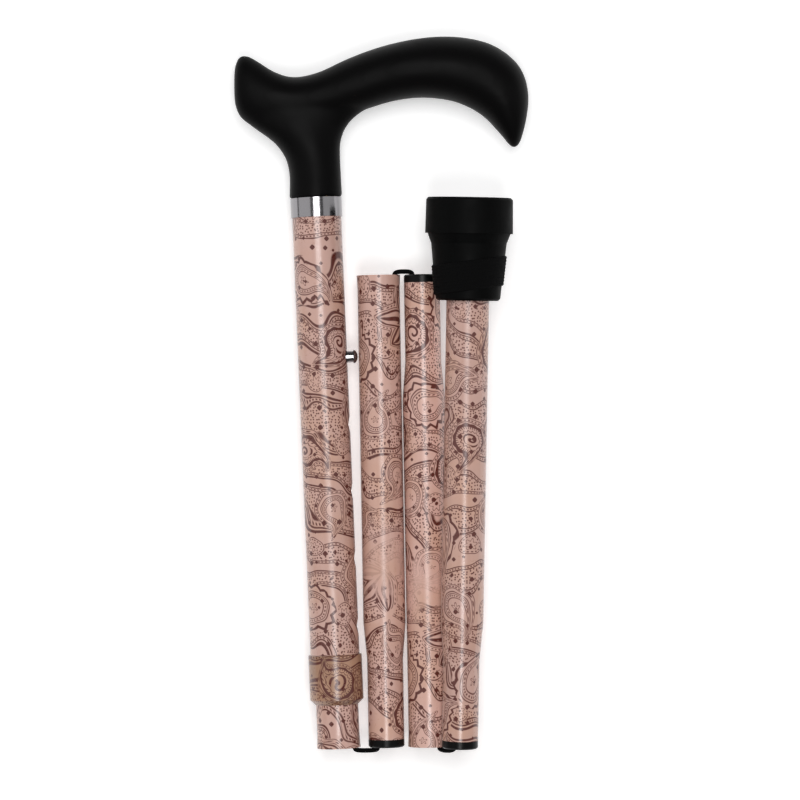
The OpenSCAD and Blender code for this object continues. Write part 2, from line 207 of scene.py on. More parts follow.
class Field:
    """A node's output to reckon with, as a number, a vector or a colour."""

    def __init__(self, graph, socket):
        self.graph, self.socket = graph, socket

    def into(self, node, name):
        self.graph.put(node.inputs[name], self)

    def beside(self, out):
        """Another output of the same node."""
        return Field(self.graph, self.socket.node.outputs[out])

    def math(self, operation, *others):
        return self.graph.add("ShaderNodeMath", self, *others, operation=operation)

    def __add__(self, other):
        return self.math("ADD", other)

    def __sub__(self, other):
        return self.math("SUBTRACT", other)

    def __rsub__(self, other):
        return self.graph.add("ShaderNodeMath", other, self, operation="SUBTRACT")

    def __mul__(self, other):
        return self.math("MULTIPLY", other)

    def __truediv__(self, other):
        return self.math("DIVIDE", other)

    def __rtruediv__(self, other):
        return self.graph.add("ShaderNodeMath", other, self, operation="DIVIDE")

    def __abs__(self):
        return self.math("ABSOLUTE")

    def times_plus(self, share, more):
        return self.math("MULTIPLY_ADD", share, more)

    def above(self, limit):
        return self.math("GREATER_THAN", limit)

    def wave(self, count):
        return (self * float(count)).math("COSINE")

    def ramp(self, low, high, at_low, at_high):
        return self.graph.add("ShaderNodeMapRange", self, low, high, at_low, at_high)

    def below(self, limit, soft=LINE_SOFT):
        return self.ramp(limit - soft, limit + soft, 1.0, 0.0)

    def stroke(self, at, half, soft=LINE_SOFT):
        """1 where this is within half of at, with a soft edge."""
        return abs(self - at).below(half * LINE_WEIGHT, soft)

    def lines(self, *rows):
        """Several strokes, each given by where it lies and half its width."""
        return most(*(self.stroke(at, half) for at, half in rows))

    def choose(self, at_0, at_1):
        return self.graph.add("ShaderNodeMix", self, None, at_0, at_1, data_type="FLOAT")

    def mix(self, at_0, at_1):
        """The colour at this share between two colours."""
        ends = [end if isinstance(end, Field) else (*end, 1.0) for end in (at_0, at_1)]
        return self.graph.add("ShaderNodeMix", self, *[None] * 5, *ends, out=2, data_type="RGBA")

    def vector(self, operation, *others, out=0):
        return self.graph.add("ShaderNodeVectorMath", self, *others, operation=operation, out=out)

    def moved(self, by):
        return self.vector("ADD", by)

    def off(self, other):
        return self.vector("SUBTRACT", other)

    def scaled(self, share):
        return self.vector("SCALE", None, None, share)

    def length(self):
        return self.vector("LENGTH", out=1)

    def dot(self, other):
        return self.vector("DOT_PRODUCT", other, out=1)

    def split(self):
        x = self.graph.add("ShaderNodeSeparateXYZ", self)
        return x, x.beside(1), x.beside(2)

    def turn(self, angle):
        inputs = {"Angle": angle}
        return self.graph.add("ShaderNodeVectorRotate", self, rotation_type="Z_AXIS", inputs=inputs)

    def noise(self, scale, detail=2.0, rough=0.5, out=0):
        inputs = {"Scale": scale, "Detail": detail, "Roughness": rough}
        return self.graph.add("ShaderNodeTexNoise", self, inputs=inputs, out=out)


def join(x, y, z=0.0):
    graph = next(part.graph for part in (x, y, z) if isinstance(part, Field))
    return graph.add("ShaderNodeCombineXYZ", x, y, z)


def most(*masks):
    top = masks[0]
    for mask in masks[1:]:
        top = top.math("MAXIMUM", mask)
    return top


def new_material(name):
    material = bpy.data.materials.new(name)
    material.use_nodes = True
    tree = material.node_tree
    return material, Graph(tree), tree.nodes["Principled BSDF"]


def object_mm(graph):
    """Object coordinates in millimetres."""
    return graph.add("ShaderNodeTexCoord", out="Object").scaled(1 / MM)


def tube_mm(graph, tube):
    """Object coordinates in millimetres in a tube's own frame."""
    place = graph.add("ShaderNodeTexCoord", out="Object")
    inputs = {"Location": tube.translation, "Rotation": tube.to_euler()}
    return graph.add("ShaderNodeMapping", place, vector_type="TEXTURE", inputs=inputs).scaled(1 / MM)


def toned(colour, share):
    return [c * share for c in colour]


def paint(shader, share, at_0, at_1):
    share.mix(at_0, at_1).into(shader, "Base Color")


def roughen(shader, noise, low, high):
    """Roughness from low to high over the middle of a noise's range."""
    noise.ramp(*NOISE_RANGE, low, high).into(shader, "Roughness")


def bump(shader, height, strength, distance):
    inputs = {"Strength": strength, "Distance": distance, "Height": height}
    height.graph.add("ShaderNodeBump", inputs=inputs).into(shader, "Normal")


# The paisley print: sizes are in millimetres, before a motif gets its own scale

BOTEH_HEAD, BOTEH_TAIL, BOTEH_TIP = 3.5, 7.2, 0.3
BOTEH_SHIFT, BOTEH_CURL = (0.3, 1.7, 0), 0.026
LEAF_STEM, SIDE_LEAF_TURN = (0, 4.4, 0), 0.78
BAND_PITCH, BAND_DRIFT, BAND_BEADING = 17.0, 2.4, 260.0
MOTIF_REACH, MOTIF_LEAST, MOTIF_SPREAD = 12.0, 1.3, 0.6
MOTIF_SWAY, MOTIF_NUDGE = 5.0, 3.0
MOTIF_CLEAR, ROSE_CLEAR, DOT_CLEAR = 1.8, 2.0, 0.6
NESTED_BELOW, LEAFY_ABOVE, BOLD_ABOVE = 0.5, 0.78, 0.5
HALVES = (0.5, 0.5, 0.5)
FILM_EDGE = 0.1, 0.2
PATCH_SHARE, INK_SHARE, INK_RISE = 0.55, 0.97, 0.03


def boteh_distance(point, head, tail, tip):
    """Signed distance to a drop with a round head at the origin and a tail up along Y."""
    slope = (head - tip) / tail
    rise = math.sqrt(1 - slope * slope)
    x, y, _ = point.split()
    point = join(abs(x), y)
    along = point.dot((-slope, rise, 0))
    round_head = point.length() - head
    round_tip = point.off((0, tail, 0)).length() - tip
    flank = point.dot((rise, slope, 0)) - head
    lower = along.above(0.0).choose(round_head, flank)
    return along.above(rise * tail).choose(lower, round_tip)


def curled(point, curl):
    """Turns a point more the further up Y it is, so that a straight tail curls over."""
    _, y, _ = point.split()
    up = y.math("MAXIMUM", 0.0)
    return point.turn(up * up * curl)


def angle_of(point):
    x, y, _ = point.split()
    return y.math("ARCTAN2", x)


def dashes(stroke, angle, count):
    """Breaks a stroke that runs round a motif into beads."""
    return stroke * angle.wave(count).below(0.1, 0.35)


def zigzag(angle, teeth):
    """A triangle wave from 0 to 1 round a motif."""
    return (angle * (teeth / math.pi)).math("PINGPONG", 1.0)


def curled_boteh(gap, angle, reach):
    """Broad and fine lines of a paisley with a broad outline, a scalloped line and a spiral."""
    scallops, ticks, teeth, spiral_pitch = 7, 34, 11, 1.25
    scalloped = abs(angle.wave(scallops)).times_plus(0.38, gap).stroke(-1.0, 0.1)
    ticked = gap.stroke(-0.5, 0.2) * angle.wave(ticks).below(-0.35, 0.3)
    swirl = (reach / spiral_pitch - angle / math.tau).math("FRACT")
    spiral = swirl.stroke(0.5, 0.17, soft=0.05) * gap.below(-1.75, soft=0.05)
    toothed = zigzag(angle, teeth).times_plus(-0.3, gap).stroke(0.1, 0.19)
    broad = most(gap.stroke(0.0, 0.25), toothed, spiral * reach.below(1.9))
    return broad, most(scalloped, ticked, spiral)


def nested_boteh(gap, angle, reach, bold):
    """Lines of a paisley drawn finely, one inside another; where bold is 1, a zigzag goes round."""
    teeth, petals, beads = 13, 5, 26
    jagged = zigzag(angle, teeth).times_plus(-0.75, gap).stroke(0.75, 0.27)
    flower = (reach - angle.wave(petals) * 0.3).stroke(0.85, 0.09)
    beaded = dashes(gap.stroke(-0.85, 0.13), angle, beads)
    fine = most(gap.lines((0.0, 0.1), (-0.42, 0.07), (-1.3, 0.09)), beaded, flower)
    return most(jagged * bold, reach.below(0.3)), fine


def big_boteh(point, nested, bold):
    """The large paisley with beaded lines round it: curled, or nested where nested is 1."""
    bent = curled(point.moved(BOTEH_SHIFT), BOTEH_CURL)
    gap = boteh_distance(bent, BOTEH_HEAD, BOTEH_TAIL, BOTEH_TIP)
    angle = angle_of(bent)
    reach = bent.length()
    around = most(gap.lines((0.82, 0.08), (1.65, 0.08)), dashes(gap.stroke(1.2, 0.14), angle, 30))
    around = around * (1.0 - nested * bold)
    curled_broad, curled_fine = curled_boteh(gap, angle, reach)
    nested_broad, nested_fine = nested_boteh(gap, angle, reach, bold)
    broad = nested.choose(curled_broad, nested_broad)
    return gap, broad, most(around, nested.choose(curled_fine, nested_fine))


def leaf(point, length, width):
    """Distances to a pointed leaf's edge and to its vein; the leaf goes up along Y from 0."""
    side, up, _ = point.split()
    share = (up - length / 2) / (length / 2)
    swell = 1.0 - share * share
    return abs(side) - swell * (width / 2), abs(side) - swell * (width / 7)


def leaf_fan(point):
    """Three leaves that spread from one stem, each with a fine double edge and a dark vein."""
    stem = point.moved(LEAF_STEM)
    x, up, _ = stem.split()
    mid_edge, mid_vein = leaf(stem, length=10.2, width=3.4)
    side_edge, side_vein = leaf(join(abs(x), up).turn(SIDE_LEAF_TURN), length=8.2, width=3.0)
    edge = mid_edge.math("MINIMUM", side_edge)
    vein = mid_vein.math("MINIMUM", side_vein)
    beaded = edge.stroke(1.1, 0.14) * up.wave(6.5).below(0.0, 0.35)
    broad = most(edge.stroke(0.0, 0.2), vein.below(0.0))
    return edge, broad, most(edge.lines((0.6, 0.08), (1.6, 0.08)), beaded)


def rosette(point):
    """A small six-petalled flower with a dotted ring round it."""
    petals, beads = 6, 16
    reach = point.length()
    angle = angle_of(point)
    flower = (reach - angle.wave(petals) * 0.5).stroke(1.9, 0.13)
    ring = dashes(reach.stroke(3.3, 0.2), angle, beads)
    return reach - 2.3, reach.below(0.6), most(flower, ring, reach.stroke(4.0, 0.12))


def winding_bands(turns, place, z, stipple):
    """Stippled bands with beaded edges that wind round the tube; a broad line runs along some.

    Places across a band are shares of the bands' pitch, from 0 in a band's middle.
    """
    course = turns + z / BAND_PITCH + place.noise(0.04, detail=1.0) * BAND_DRIFT
    off = abs(course.math("FRACT") - 0.5)
    chance = z.graph.add("ShaderNodeTexWhiteNoise", None, course.math("FLOOR"), noise_dimensions="1D")
    beading = turns.times_plus(BAND_BEADING, z).math("COSINE").below(0.1, 0.35)
    beaded = off.stroke(0.245, 0.014, soft=0.008) * beading
    field = stipple * off.below(0.185, soft=0.01)
    edges = [off.stroke(at, 0.013, soft=0.006) for at in (0.2, 0.29)]
    broad = off.stroke(0.36, 0.024, soft=0.008) * chance.above(0.5)
    return broad, most(field, beaded, *edges)


class Lattice:
    """Cells for the motifs on a tube, in columns that wind round it and are half a row apart."""

    def __init__(self, look, radius, turns, z):
        self.round = float(look.cells_round)
        self.row = look.row_height / MM
        winding = look.winding / MM
        self.columns = turns.times_plus(self.round, z / winding + 0.5)
        self.rows = z / self.row
        self.width = radius * (math.tau / self.round)
        self.slant = self.width / winding

    def cell(self, shift):
        """A motif's own millimetres and its random numbers, for cells moved by shift."""
        across = self.columns + shift
        column = across.math("FLOOR").math("FLOORED_MODULO", self.round)
        up = column.times_plus(0.5, self.rows) + shift
        key = join(column, up.math("FLOOR"), shift)
        chance = key.graph.add("ShaderNodeTexWhiteNoise", key, out=1, noise_dimensions="3D")
        y = (up.math("FRACT") - 0.5) * self.row
        x = (across.math("FRACT") - 0.5) * self.width
        return join(x - y * self.slant, y), chance


def lozenges(flat):
    """Small lozenges of mixed sizes over the whole print."""
    off = flat.graph.add(
        "ShaderNodeTexVoronoi", flat, voronoi_dimensions="2D", distance="MINKOWSKI",
        inputs={"Scale": 0.17, "Exponent": 1.3, "Randomness": 0.7},
    )
    chance, _, _ = off.beside("Color").split()
    return off.below(chance.times_plus(0.08, 0.1), soft=0.015)


def specks(flat):
    """Fine dots for the winding bands."""
    inputs = {"Scale": 0.85, "Randomness": 0.75}
    off = flat.graph.add("ShaderNodeTexVoronoi", flat, voronoi_dimensions="2D", inputs=inputs)
    return off.below(0.26, soft=0.06)


def paisley_group(look):
    """Node group: tube coordinates in millimetres in, broad and fine ink out."""
    tree = bpy.data.node_groups.new("Paisley print", "ShaderNodeTree")
    for name, kind in {"Place": "Vector", "Radius": "Float", "Start": "Float"}.items():
        tree.interface.new_socket(name, in_out="INPUT", socket_type="NodeSocket" + kind)
    for name in ("Broad", "Fine"):
        tree.interface.new_socket(name, in_out="OUTPUT", socket_type="NodeSocketFloat")
    place = Graph(tree).add("NodeGroupInput")
    radius, start = place.beside("Radius"), place.beside("Start")
    place = place.moved(join(0.0, 0.0, start))
    x, y, z = place.split()
    angle = x.math("ARCTAN2", y * -1.0)
    flat = join(angle * radius, z)
    turns = angle / math.tau + 0.5
    lattice = Lattice(look, radius, turns, z)
    sway = place.noise(0.09, detail=1.0, out=1).off(HALVES).scaled(MOTIF_SWAY)

    home, chance = lattice.cell(0.0)
    spin, kind, size = chance.split()
    point = home.moved(sway).moved(chance.off(HALVES).scaled(MOTIF_NUDGE))
    point = point.scaled(1.0 / size.times_plus(MOTIF_SPREAD, MOTIF_LEAST)).turn(spin * math.tau)
    nested, leafy = kind.math("LESS_THAN", NESTED_BELOW), kind.above(LEAFY_ABOVE)
    boteh_gap, boteh_broad, boteh_fine = big_boteh(point, nested, size.above(BOLD_ABOVE))
    leaf_gap, leaf_broad, leaf_fine = leaf_fan(point)
    gap = leafy.choose(boteh_gap, leaf_gap)
    inside = home.length().below(MOTIF_REACH)
    broad = leafy.choose(boteh_broad, leaf_broad) * inside
    fine = leafy.choose(boteh_fine, leaf_fine) * inside

    corner, chance = lattice.cell(0.5)
    spin, _, _ = chance.split()
    rose_gap, rose_broad, rose_fine = rosette(corner.moved(sway).turn(spin))
    outside = 1.0 - gap.below(MOTIF_CLEAR)
    beyond = outside * (1.0 - rose_gap.below(ROSE_CLEAR))
    band_broad, band_fine = winding_bands(turns, place, z, specks(flat))
    dots = lozenges(flat) * abs(gap).above(DOT_CLEAR)

    result = tree.nodes.new("NodeGroupOutput")
    most(broad, dots, rose_broad * outside, band_broad * beyond).into(result, "Broad")
    most(fine, rose_fine * outside, band_fine * beyond).into(result, "Fine")
    return tree


def rubbed_off(place, middle_z):
    """A ragged zone round a height on a tube where most of the ink has been rubbed off."""
    reach, raggedness, share = 31.0, 44.0, 0.8
    _, _, z = place.split()
    ragged = place.noise(0.22, detail=4.0, rough=0.65).times_plus(raggedness, abs(z - middle_z))
    return ragged.below(reach, soft=5.0) * share


def film_share(graph, place, tube):
    """1 on a tube's outside, which has the printed film, and 0 on its cut ends and inside."""
    normal = graph.add("ShaderNodeTexCoord", out="Normal")
    inputs = {"Rotation": tube.to_euler()}
    facing = graph.add("ShaderNodeMapping", normal, vector_type="TEXTURE", inputs=inputs)
    x, y, _ = place.split()
    return facing.dot(join(x, y).vector("NORMALIZE")).ramp(*FILM_EDGE, 0.0, 1.0)


def print_material(name, group, tube, radius, start, ground, rubbed_z, look, finish):
    """Glossy printed film on a tube, bare metal on its cut edges and inside."""
    material, graph, shader = new_material(name)
    place = tube_mm(graph, tube)
    film = film_share(graph, place, tube)
    inputs = {"Place": place, "Radius": radius, "Start": start}
    broad = graph.add("ShaderNodeGroup", node_tree=group, inputs=inputs)
    fine = broad.beside("Fine")
    if rubbed_z is not None:
        left = 1.0 - rubbed_off(place, rubbed_z)
        broad, fine = broad * left, fine * left

    patches = place.noise(0.06).ramp(0.42, 0.68, 0.0, 1.0)
    base = (patches * PATCH_SHARE).mix(ground, look.ground_warm)
    fine_share = place.noise(0.35, detail=3.0).ramp(0.25, 0.6, 0.88, 1.0)
    colour = (fine * fine_share).mix(base, look.fine_ink)
    paint(shader, film, finish.bare, (broad * INK_SHARE).mix(colour, look.ink))
    (1.0 - film).into(shader, "Metallic")
    roughen(shader, place.noise(0.5, detail=4.0, rough=0.65), low=0.24, high=0.42)
    shader.inputs["Coat Weight"].default_value = 0.3
    shader.inputs["Coat Roughness"].default_value = 0.14
    bump(shader, place.noise(0.16) + broad * INK_RISE, strength=0.12, distance=0.0006)
    return material


# Plain finishes


def satin_handle(finish):
    """Soft-touch moulded plastic: fine grain, slightly shinier where hands have rubbed it."""
    material, graph, shader = new_material("Satin handle")
    place = object_mm(graph)
    rubbed = place.noise(0.05, detail=3.0)
    paint(shader, rubbed, finish.handle, toned(finish.handle, 1.35))
    roughen(shader, rubbed, low=0.52, high=0.4)
    shader.inputs["Specular IOR Level"].default_value = 0.045
    grain = graph.add("ShaderNodeTexVoronoi", place, inputs={"Scale": 3.2})
    bump(shader, grain, strength=0.05, distance=0.00012)
    return material


def foot_rubber(finish):
    """Matt black rubber with a dusty bloom and fine pits."""
    material, graph, shader = new_material("Foot rubber")
    place = object_mm(graph)
    bloom = place.noise(0.14, detail=5.0, rough=0.65)
    dusty = [c * 2.1 + 0.001 for c in finish.rubber]
    paint(shader, bloom.math("POWER", 2.0), finish.rubber, dusty)
    roughen(shader, bloom, low=0.42, high=0.62)
    shader.inputs["Specular IOR Level"].default_value = 0.035
    bump(shader, place.noise(2.4, detail=3.0, rough=0.6), strength=0.1, distance=0.0002)
    return material


def bright_metal(name, colour, low, high):
    """Polished metal with fine turned lines round the shaft."""
    drawn_out = 0.05
    material, graph, shader = new_material(name)
    place = tube_mm(graph, SHAFT_FRAME)
    x, y, z = place.split()
    lines = join(x * drawn_out, y * drawn_out, z).noise(6.0, detail=3.0, rough=0.7)
    paint(shader, place.noise(0.3, detail=3.0), colour, toned(colour, 0.93))
    roughen(shader, lines, low, high)
    shader.inputs["Metallic"].default_value = 1.0
    bump(shader, lines, strength=0.04, distance=0.0001)
    return material


def moulded_plastic(name, colour, low, high, shine):
    """Plain plastic with a faintly cloudy face."""
    material, graph, shader = new_material(name)
    place = object_mm(graph)
    cloud = place.noise(0.6, detail=4.0, rough=0.6)
    paint(shader, cloud, colour, toned(colour, 1.25))
    roughen(shader, cloud, low, high)
    shader.inputs["Specular IOR Level"].default_value = shine
    bump(shader, place.noise(3.0), strength=0.06, distance=0.00015)
    return material


def turned_wood(finish):
    """Plain wood with its grain along the dowel."""
    drawn_out = 0.08
    material, graph, shader = new_material("Turned wood")
    x, y, z = object_mm(graph).split()
    grain = join(x, y * drawn_out, z).noise(0.9, detail=5.0, rough=0.6)
    paint(shader, grain, finish.dowel, toned(finish.dowel, 0.55))
    roughen(shader, grain, low=0.55, high=0.75)
    bump(shader, grain, strength=0.15, distance=0.0003)
    return material


def woven_black(name, colour, across, along, slant):
    """Woven yarn on a piece's own coordinates: across and along are yarns per unit of each."""
    material, graph, shader = new_material(name)
    u, v, _ = graph.add("ShaderNodeAttribute", attribute_name="weave", out=1).split()
    u, v = u * (across * math.tau), v * (along * math.tau)
    first, second = (u + v * slant).math("SINE"), (v - u * slant).math("SINE")
    yarn = (first * second).times_plus(0.5, 0.5)
    fuzz = object_mm(graph).noise(5.0, detail=3.0, rough=0.7)
    # The colour follows the weave's relief: darker in the hollows between yarns and lighter on their
    # crowns, which is painted shade and highlight, varied by random fuzz
    paint(shader, yarn * (fuzz + 0.3), toned(colour, 0.5), toned(colour, 2.2))
    roughen(shader, fuzz, low=0.75, high=0.92)
    shader.inputs["Specular IOR Level"].default_value = 0.06
    bump(shader, yarn, strength=0.55, distance=0.00025)
    return material


# Mesh helpers


def cover(mesh, material):
    """Leaves a mesh with one material."""
    mesh.materials.clear()
    mesh.materials.append(material)


def dress(material, *nodes):
    for node in nodes:
        cover(NODES[node].data, material)


def new_object(name, mesh):
    piece = bpy.data.objects.new(name, mesh)
    bpy.context.collection.objects.link(piece)
    return piece


def attach(piece, body, instead_of=None):
    """Lets a piece ride on a body, and stand for a CAD node if one is named."""
    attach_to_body(piece, body)
    if instead_of:
        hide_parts(instead_of)


def plain_mesh(piece):
    """Turns a piece and its live modifiers into a plain mesh."""
    bpy.context.view_layer.update()
    seen = piece.evaluated_get(bpy.context.evaluated_depsgraph_get())
    mesh = bpy.data.meshes.new_from_object(seen)
    piece.modifiers.clear()
    old = piece.data
    piece.data = mesh
    bpy.data.meshes.remove(old)
    return mesh


def node_points(node, tube):
    """A CAD node's points in a tube's own frame."""
    inverse = tube.inverted()
    return np.array([inverse @ v.co for v in NODES[node].data.vertices])


def upper_end(node, tube):
    """The point on a tube's axis at a node's upper end."""
    return tube @ Vector((0, 0, node_points(node, tube)[:, 2].max()))


def lower_end(node, tube):
    """The point on a tube's axis at a node's lower end."""
    return tube @ Vector((0, 0, node_points(node, tube)[:, 2].min()))


def wire(name, *lines):
    """One object of open lines, each through its own points."""
    points, edges = [], []
    for line in lines:
        edges += [(len(points) + i, len(points) + i + 1) for i in range(len(line) - 1)]
        points += [tuple(point) for point in line]
    mesh = bpy.data.meshes.new(name)
    mesh.from_pydata(points, edges, [])
    return new_object(name, mesh)


# Geometry Nodes

CORD_SIDES = 16


def geometry_tree(name, **inputs):
    """A new tree with geometry in and out and named inputs; gives what comes in by each."""
    tree = bpy.data.node_groups.new(name, "GeometryNodeTree")
    for label, kind in {"Geometry": "Geometry", **inputs}.items():
        tree.interface.new_socket(label, in_out="INPUT", socket_type="NodeSocket" + kind)
    tree.interface.new_socket("Geometry", in_out="OUTPUT", socket_type="NodeSocketGeometry")
    geometry = Graph(tree).add("NodeGroupInput")
    return geometry, {label: geometry.beside(label) for label in inputs}


def end_tree(geometry, yarn):
    """Ends a tree with smooth geometry of its own in one material."""
    graph = geometry.graph
    real = graph.add("GeometryNodeRealizeInstances", geometry)
    smooth = graph.add("GeometryNodeSetShadeSmooth", real)
    done = graph.add("GeometryNodeSetMaterial", inputs={"Geometry": smooth, "Material": yarn})
    done.into(graph.tree.nodes.new("NodeGroupOutput"), "Geometry")
    return graph.tree


def capture(geometry, **fields):
    """Keeps fields on a geometry, each given as its kind and itself."""
    node = geometry.graph.tree.nodes.new("GeometryNodeCaptureAttribute")
    for name, (kind, _) in fields.items():
        node.capture_items.new(kind, name)
    geometry.into(node, "Geometry")
    for name, (_, field) in fields.items():
        field.into(node, name)
    return Field(geometry.graph, node.outputs["Geometry"])


def run_tree(piece, tree, **values):
    """Puts a tree on a piece, sets its inputs by their names and makes a plain mesh."""
    modifier = piece.modifiers.new(tree.name, "NODES")
    modifier.node_group = tree
    for item in tree.interface.items_tree:
        if item.in_out == "INPUT" and item.name in values:
            modifier[item.identifier] = values[item.name]
    return plain_mesh(piece)


def cord_tree():
    """Sweeps a cord along a path, flattens it by the path's own share, and keeps its braid."""
    geometry, given = geometry_tree(
        "Cord along a path", Radius="Float", Level="Vector", Spread="Float", Yarn="Material"
    )
    graph = geometry.graph
    place = graph.add("GeometryNodeInputPosition")
    length = graph.add("GeometryNodeSplineParameter", out="Length")
    path = graph.add("GeometryNodeMeshToCurve", geometry)
    path = capture(path, Length=("FLOAT", length), Core=("VECTOR", place))
    inputs = {"Resolution": CORD_SIDES, "Radius": given["Radius"]}
    ring = graph.add("GeometryNodeCurvePrimitiveCircle", inputs=inputs)
    ring = capture(ring, Turn=("FLOAT", length.beside("Factor")))
    inputs = {"Curve": path, "Profile Curve": ring, "Fill Caps": True}
    tube = graph.add("GeometryNodeCurveToMesh", inputs=inputs)
    thin = graph.add("GeometryNodeInputNamedAttribute", data_type="FLOAT", inputs={"Name": "thin"})
    core = path.beside("Core")
    off = place.off(core)
    level_off = off.vector("PROJECT", given["Level"])
    spread = level_off.scaled((1.0 - thin).times_plus(given["Spread"], 1.0))
    pressed = core.moved(off.off(level_off).scaled(thin).moved(spread))
    tube = graph.add("GeometryNodeSetPosition", inputs={"Geometry": tube, "Position": pressed})
    weave = join(ring.beside("Turn"), path.beside("Length"))
    tube = graph.add(
        "GeometryNodeStoreNamedAttribute", data_type="FLOAT_VECTOR", domain="POINT",
        inputs={"Geometry": tube, "Name": "weave", "Value": weave},
    )
    return end_tree(tube, given["Yarn"])


def stitch_tree():
    """Lays short threads end to end along a path."""
    geometry, given = geometry_tree(
        "Stitches along a path", Count="Int", Thread="Float", Length="Float", Yarn="Material"
    )
    graph = geometry.graph
    path = graph.add("GeometryNodeMeshToCurve", geometry)
    spaced = graph.add("GeometryNodeResampleCurve", inputs={"Curve": path, "Count": given["Count"]})
    thread = graph.add("GeometryNodeMeshUVSphere", inputs={"Segments": 6, "Rings": 5, "Radius": 1.0})
    tangent = graph.add("GeometryNodeInputTangent")
    facing = graph.add("FunctionNodeAlignRotationToVector", axis="Z", inputs={"Vector": tangent})
    size = join(given["Thread"], given["Thread"], given["Length"])
    inputs = {"Points": spaced, "Instance": thread, "Rotation": facing, "Scale": size}
    return end_tree(graph.add("GeometryNodeInstanceOnPoints", inputs=inputs), given["Yarn"])


# Handle

SKIN_MERGE = 1e-6
SKIN_FIXED = 0.35
SKIN_BLEND, SKIN_ROUNDS = 0.5, 26


def handle_skin(shapes, material):
    """One smooth moulded skin over the CAD handle, with the crease at the neck blended away."""
    mesh = NODES["derby_handle"].data.copy()
    body = bmesh.new()
    body.from_mesh(mesh)
    bmesh.ops.remove_doubles(body, verts=body.verts, dist=SKIN_MERGE)
    body.to_mesh(mesh)
    body.free()
    cover(mesh, material)
    piece = new_object("handle_skin", mesh)
    voxels = piece.modifiers.new("Voxels", "REMESH")
    voxels.mode = "VOXEL"
    voxels.voxel_size = shapes.skin_voxel
    plain_mesh(piece)
    foot = upper_end("handle_collar", SHAFT_FRAME)
    rise = np.array([(v.co - foot).dot(SHAFT_UP) for v in piece.data.vertices])
    loose = np.clip(rise / shapes.skin_hold - SKIN_FIXED, 0.0, 1.0)
    group = piece.vertex_groups.new(name="loose")
    for index, weight in enumerate(loose):
        group.add([index], float(weight), "REPLACE")
    blend = piece.modifiers.new("Blend", "SMOOTH")
    blend.factor = SKIN_BLEND
    blend.iterations = SKIN_ROUNDS
    blend.vertex_group = group.name
    plain_mesh(piece).shade_smooth()
    return piece


# Cord and spring

BRAID_SHARE = 0.98


def smooth_path(rows, steps):
    """A smooth curve through rows of points, with steps points to a stretch."""
    last = len(rows) - 1
    path = []
    for i in range(last):
        a, b, c, d = (rows[max(i - 1, 0)], rows[i], rows[i + 1], rows[min(i + 2, last)])
        for j in range(steps):
            t = j / steps
            path.append(b + 0.5 * t * (c - a + t * (2 * a - 5 * b + 4 * c - d + t * (3 * (b - c) + d - a))))
    path.append(rows[last])
    return path


class Bend:
    """The cord's way over two tube ends, with the same sizes as in the solids."""

    deep = 0.014
    slack = 0.034
    play = 0.0002
    flat = 0.6
    spread = 0.6
    crest = 1.15
    mouth_r = 0.00715
    funnel_r = 0.0046
    inside, beside, edge, over_edge = 0.45, 0.95, 0.4, 0.7
    steps = 5

    def __init__(self, radius):
        self.radius = radius
        self.flat_r = radius * self.flat
        self.rise = self.flat_r + self.play

    def side(self, hole_r):
        """Off the tube's axis, out of the tube, and the share of its thickness the cord keeps."""
        near = hole_r - self.flat_r - self.play
        half = (1 + self.flat) / 2
        return [
            Vector((0.0, -self.deep, 1.0)),
            Vector((0.0, self.radius - self.deep, 1.0)),
            Vector((near * self.inside, -self.deep * self.inside, half)),
            Vector((near * self.beside, -self.radius, self.flat)),
            Vector((near, self.rise * self.edge, self.flat)),
            Vector((near + self.radius * self.over_edge, self.rise, self.flat)),
        ]

    def path(self, start, out, over, splay, slack_first):
        """Points from deep in an open end, over both edges and into the next plug.

        One leg is as much longer as a section slides, so that it still reaches in after that.
        """
        span = over.length
        across = over / span
        leave, enter = self.side(self.mouth_r), self.side(self.funnel_r)
        enter = [Vector((span - row.x - row.y * math.tan(splay), row.y, row.z)) for row in enter]
        crest = Vector(((leave[-1].x + enter[-1].x) / 2, self.rise * self.crest, self.flat))
        rows = smooth_path(leave + [crest] + enter[::-1], self.steps)
        count = round(self.slack / self.radius)
        further = [self.slack * (i + 1) / count for i in range(count)]
        if slack_first:
            rows = [Vector((0.0, -self.deep - far, 1.0)) for far in further[::-1]] + rows
        else:
            lean = Vector((math.tan(splay), -1.0, 0.0))
            rows += [rows[-1] + lean * far for far in further]
        return [start + across * row.x + out * row.y for row in rows], [row.z for row in rows]


def braided(node, body, points, thin, level, radius, tree, material):
    """A braided cord on a path, which stands for a plain stretch of cord and rides on a body.

    thin is the share of its thickness that the cord keeps at each point.
    """
    piece = wire(f"braided_{node}", points)
    piece.data.attributes.new("thin", "FLOAT", "POINT").data.foreach_set("value", thin)
    run_tree(
        piece, tree, Radius=radius * BRAID_SHARE, Level=tuple(level), Spread=Bend.spread, Yarn=material
    )
    attach(piece, body, node)
    return piece


